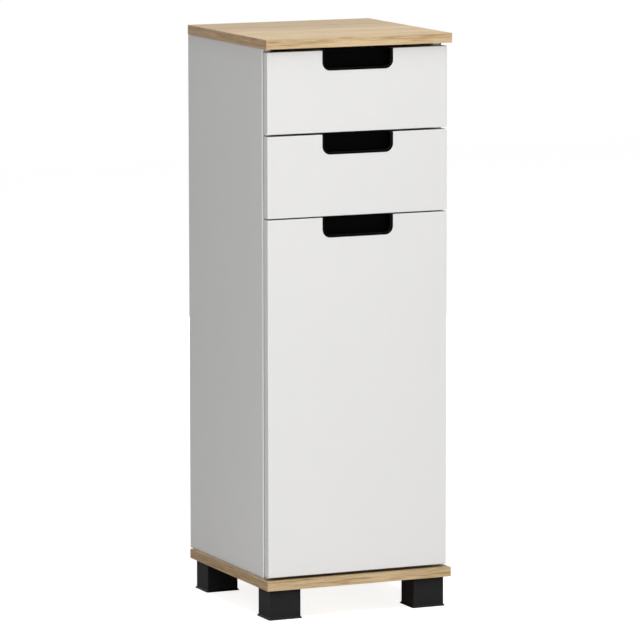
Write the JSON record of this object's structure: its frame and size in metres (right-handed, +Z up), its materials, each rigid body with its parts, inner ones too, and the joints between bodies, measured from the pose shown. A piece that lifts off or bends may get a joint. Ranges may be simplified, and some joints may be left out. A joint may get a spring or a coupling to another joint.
{
  "type": "bathroom cabinet",
  "caption": "Slim standing bathroom cabinet with oak-effect top and base, white fronts with black recessed grips, sliding drawers above a hinged door, and square black feet.",
  "frame": {"origin": "on the floor under the middle of the cabinet's outline", "axes": "+Z up, +Y to the rear, front faces -Y, +X to the right as seen from the front"},
  "size_m": [0.31, 0.32, 0.892],
  "materials": {
    "oak_board": "oak-effect melamine, satin, straight grain",
    "white_panel": "white melamine on particle board, matt",
    "white_fibreboard": "white-faced fibreboard",
    "black_plastic": "black, satin moulded",
    "runner_steel": "white powder coat",
    "white_nylon": "natural nylon",
    "beech_dowel": "plain beech",
    "clear_rubber": "translucent soft bumper",
    "zinc_fitting": "die-cast zinc",
    "nickel_hinge": "nickel-plated",
    "bright_steel": "zinc-plated"
  },
  "bodies": {
    "carcass": {"adjustable_shelf": "white_panel", "back_panel": "white_fibreboard", "bottom_board": "oak_board", "cam_bolts": "bright_steel", "cam_locks": "zinc_fitting", "euro_screws": "bright_steel", "fixed_shelf": "white_panel", "foot_front_left": "black_plastic", "foot_front_right": "black_plastic", "foot_rear_left": "black_plastic", "foot_rear_right": "black_plastic", "foot_screws": "bright_steel", "front_roller_axles": "bright_steel", "hinge_arm_screws": "bright_steel", "hinge_arms": "nickel_hinge", "hinge_plates": "nickel_hinge", "left_side_panel": "white_panel", "lower_left_cabinet_rail": "runner_steel", "lower_right_cabinet_rail": "runner_steel", "right_side_panel": "white_panel", "shelf_pins": "bright_steel", "top_board": "oak_board", "upper_left_cabinet_rail": "runner_steel", "upper_right_cabinet_rail": "runner_steel", "wood_dowels": "beech_dowel"},
    "upper_drawer": {"upper_drawer_back": "white_panel", "upper_drawer_bottom": "white_fibreboard", "upper_drawer_cam_bolts": "bright_steel", "upper_drawer_cams": "zinc_fitting", "upper_drawer_front": "white_panel", "upper_drawer_grip": "black_plastic", "upper_drawer_left_rail": "runner_steel", "upper_drawer_left_side": "white_panel", "upper_drawer_right_rail": "runner_steel", "upper_drawer_right_side": "white_panel", "upper_drawer_screws": "bright_steel", "upper_rear_roller_axles": "bright_steel"},
    "lower_drawer": {"lower_drawer_back": "white_panel", "lower_drawer_bottom": "white_fibreboard", "lower_drawer_cam_bolts": "bright_steel", "lower_drawer_cams": "zinc_fitting", "lower_drawer_front": "white_panel", "lower_drawer_grip": "black_plastic", "lower_drawer_left_rail": "runner_steel", "lower_drawer_left_side": "white_panel", "lower_drawer_right_rail": "runner_steel", "lower_drawer_right_side": "white_panel", "lower_drawer_screws": "bright_steel", "lower_rear_roller_axles": "bright_steel"},
    "door": {"door_bumpers": "clear_rubber", "door_grip": "black_plastic", "door_panel": "white_panel", "hinge_cup_screws": "bright_steel", "hinge_cups": "nickel_hinge", "hinge_pins": "bright_steel"},
    "upper_front_rollers": {"upper_front_rollers": "white_nylon"},
    "upper_rear_rollers": {"upper_rear_rollers": "white_nylon"},
    "lower_front_rollers": {"lower_front_rollers": "white_nylon"},
    "lower_rear_rollers": {"lower_rear_rollers": "white_nylon"}
  },
  "joints": [
    {"name": "upper_drawer_slide", "type": "slide", "parent": "carcass", "child": "upper_drawer", "axis": [0, -1, 0], "range_m": [0, 0.19]},
    {"name": "upper_front_roller_spin", "type": "hinge", "parent": "carcass", "child": "upper_front_rollers", "pos_m": [0, -0.119, 0.7701], "axis": [1, 0, 0], "continuous": true},
    {"name": "upper_rear_roller_spin", "type": "hinge", "parent": "upper_drawer", "child": "upper_rear_rollers", "pos_m": [0, 0.101, 0.76815], "axis": [1, 0, 0], "continuous": true},
    {"name": "lower_drawer_slide", "type": "slide", "parent": "carcass", "child": "lower_drawer", "axis": [0, -1, 0], "range_m": [0, 0.19]},
    {"name": "lower_front_roller_spin", "type": "hinge", "parent": "carcass", "child": "lower_front_rollers", "pos_m": [0, -0.119, 0.6421], "axis": [1, 0, 0], "continuous": true},
    {"name": "lower_rear_roller_spin", "type": "hinge", "parent": "lower_drawer", "child": "lower_rear_rollers", "pos_m": [0, 0.101, 0.64015], "axis": [1, 0, 0], "continuous": true},
    {"name": "door_hinge", "type": "hinge", "parent": "carcass", "child": "door", "pos_m": [0.1435, -0.1455, 0.3415], "axis": [0, 0, 1], "range_deg": [0, 95]}
  ],
  "couplings": [
    {"joint": "upper_front_roller_spin", "follows": "upper_drawer_slide", "rad_per_m": 111.11},
    {"joint": "upper_rear_roller_spin", "follows": "upper_drawer_slide", "rad_per_m": 111.11},
    {"joint": "lower_front_roller_spin", "follows": "lower_drawer_slide", "rad_per_m": 111.11},
    {"joint": "lower_rear_roller_spin", "follows": "lower_drawer_slide", "rad_per_m": 111.11}
  ]
}
